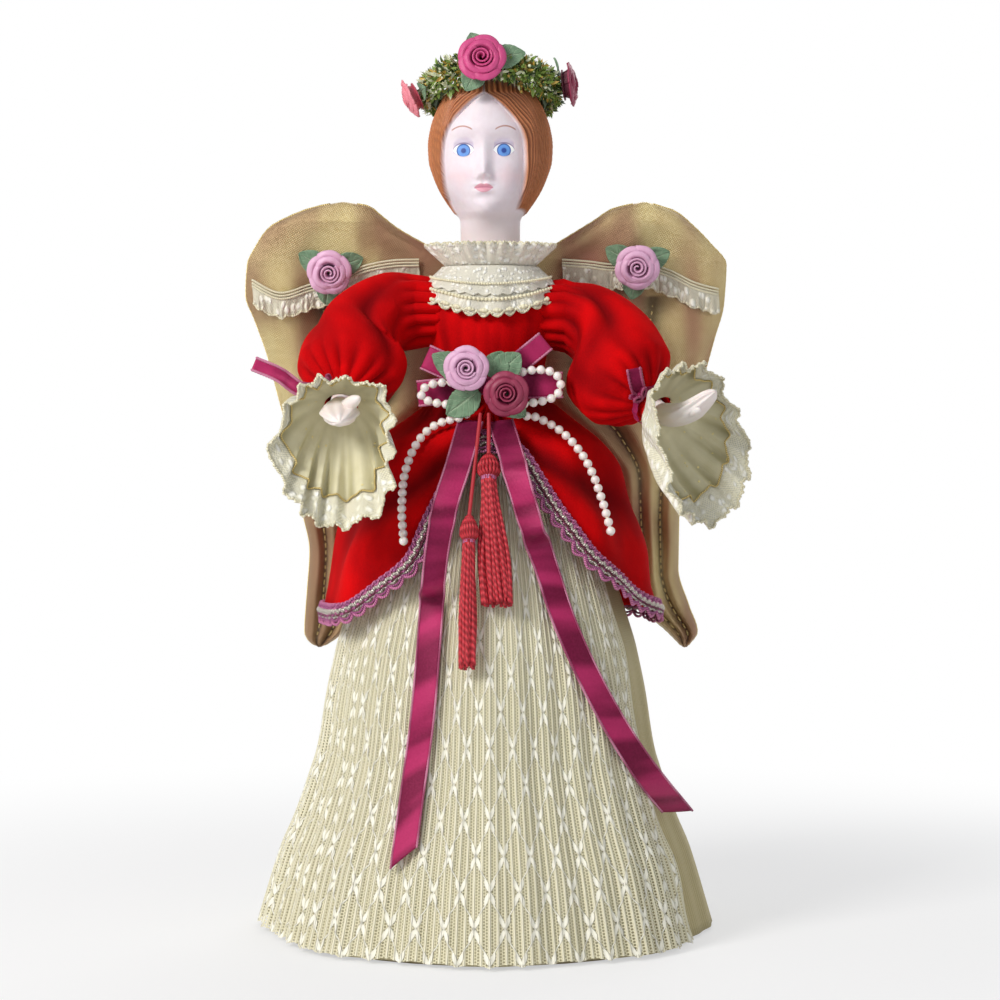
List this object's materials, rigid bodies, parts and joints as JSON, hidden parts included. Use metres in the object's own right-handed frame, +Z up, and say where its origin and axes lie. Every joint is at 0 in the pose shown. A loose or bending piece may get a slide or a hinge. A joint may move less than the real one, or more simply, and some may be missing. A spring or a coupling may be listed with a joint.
{
  "type": "angel tree topper",
  "caption": "Dressed angel tree topper: bisque shoulder head and hands on a velvet and lace gown over a hollow cone, with bendable arms and quilted wings.",
  "frame": {"origin": "middle of the hollow cone's foot, on the surface the topper stands on", "axes": "+Z up through the head, the angel faces -Y, its left side is +X"},
  "size_m": [0.1613, 0.1512, 0.2856],
  "materials": {
    "cone_board": "matt pressed board",
    "lining_cloth": "plain woven cotton, matt",
    "cream_lace": "openwork lace, matt",
    "red_velvet": "cut velvet pile with a soft sheen",
    "stuffing": "tight calico over fibre filling",
    "bisque": "unglazed bisque, matt, painted face and hair",
    "steel_wire": "drawn wire, dull",
    "gold_lame": "shot metallic weave, quilted",
    "pink_satin": "satin ribbon, soft gloss",
    "wine_satin": "satin ribbon, glossy",
    "leaf_cloth": "crinkled woven leaf cloth, matt",
    "greenery": "fine preserved sprigs, matt",
    "pearl_beads": "moulded pearl beads, satin gloss",
    "crimson_cord": "twisted rayon thread, soft gloss",
    "gimp_braid": "woven gimp braid with metal thread"
  },
  "bodies": {
    "gown": {"base_cone": "cone_board", "skirt_lining": "lining_cloth", "lace_skirt": "cream_lace", "stuffed_torso": "stuffing", "shoulder_wire": "steel_wire", "bodice": "red_velvet", "shoulder_head": "bisque", "peplum": "red_velvet", "peplum_braid": "gimp_braid", "collar_falling_ruffle": "cream_lace", "collar_standing_ruff": "cream_lace", "wreath_wire": "steel_wire", "wreath_greenery": "greenery", "wreath_front_leaves": "leaf_cloth", "wreath_front_rose": "wine_satin", "wreath_right_leaves": "leaf_cloth", "wreath_right_rose": "pink_satin", "wreath_left_leaves": "leaf_cloth", "wreath_left_rose": "wine_satin", "wreath_back_rose": "pink_satin", "wing_patch": "red_velvet", "upper_wing_wire": "steel_wire", "lower_wing_wire": "steel_wire", "waist_bow": "wine_satin", "waist_leaves": "leaf_cloth", "pink_waist_rose": "pink_satin", "burgundy_waist_rose": "wine_satin", "right_ribbon_tail": "wine_satin", "left_ribbon_tail": "wine_satin", "right_pearl_strand": "pearl_beads", "left_pearl_strand": "pearl_beads"},
    "right_arm": {"right_sleeve": "red_velvet", "right_arm_wire": "steel_wire", "right_wrist_ribbon": "wine_satin", "right_lace_cuff": "cream_lace", "right_hand": "bisque"},
    "left_arm": {"left_sleeve": "red_velvet", "left_arm_wire": "steel_wire", "left_wrist_ribbon": "wine_satin", "left_lace_cuff": "cream_lace", "left_hand": "bisque"},
    "right_wing": {"right_wing": "gold_lame", "right_wing_lace": "cream_lace", "right_wing_leaves": "leaf_cloth", "right_wing_rose": "pink_satin"},
    "left_wing": {"left_wing": "gold_lame", "left_wing_lace": "cream_lace", "left_wing_leaves": "leaf_cloth", "left_wing_rose": "pink_satin"},
    "upper_tassel": {"upper_tassel_cord": "crimson_cord", "upper_tassel": "crimson_cord"},
    "lower_tassel": {"lower_tassel_cord": "crimson_cord", "lower_tassel": "crimson_cord"}
  },
  "joints": [
    {"name": "right_shoulder_bend", "type": "hinge", "parent": "gown", "child": "right_arm", "pos_m": [-0.0234, 0, 0.198], "axis": [-1, 0, 0], "range_deg": [-5, 35]},
    {"name": "left_shoulder_bend", "type": "hinge", "parent": "gown", "child": "left_arm", "pos_m": [0.0234, 0, 0.198], "axis": [-1, 0, 0], "range_deg": [-5, 35]},
    {"name": "right_wing_bend", "type": "hinge", "parent": "gown", "child": "right_wing", "pos_m": [-0.0063, 0.02084, 0.198], "axis": [0, 0.2149, -0.9766], "range_deg": [-1, 20]},
    {"name": "left_wing_bend", "type": "hinge", "parent": "gown", "child": "left_wing", "pos_m": [0.0063, 0.02084, 0.198], "axis": [0, -0.2149, 0.9766], "range_deg": [-1, 20]},
    {"name": "upper_tassel_swing", "type": "hinge", "parent": "gown", "child": "upper_tassel", "pos_m": [-0.0004, -0.0263, 0.1655], "axis": [-1, 0, 0], "range_deg": [0, 40]},
    {"name": "lower_tassel_swing", "type": "hinge", "parent": "gown", "child": "lower_tassel", "pos_m": [-0.003, -0.0263, 0.1655], "axis": [-1, 0, 0], "range_deg": [0, 40]}
  ]
}
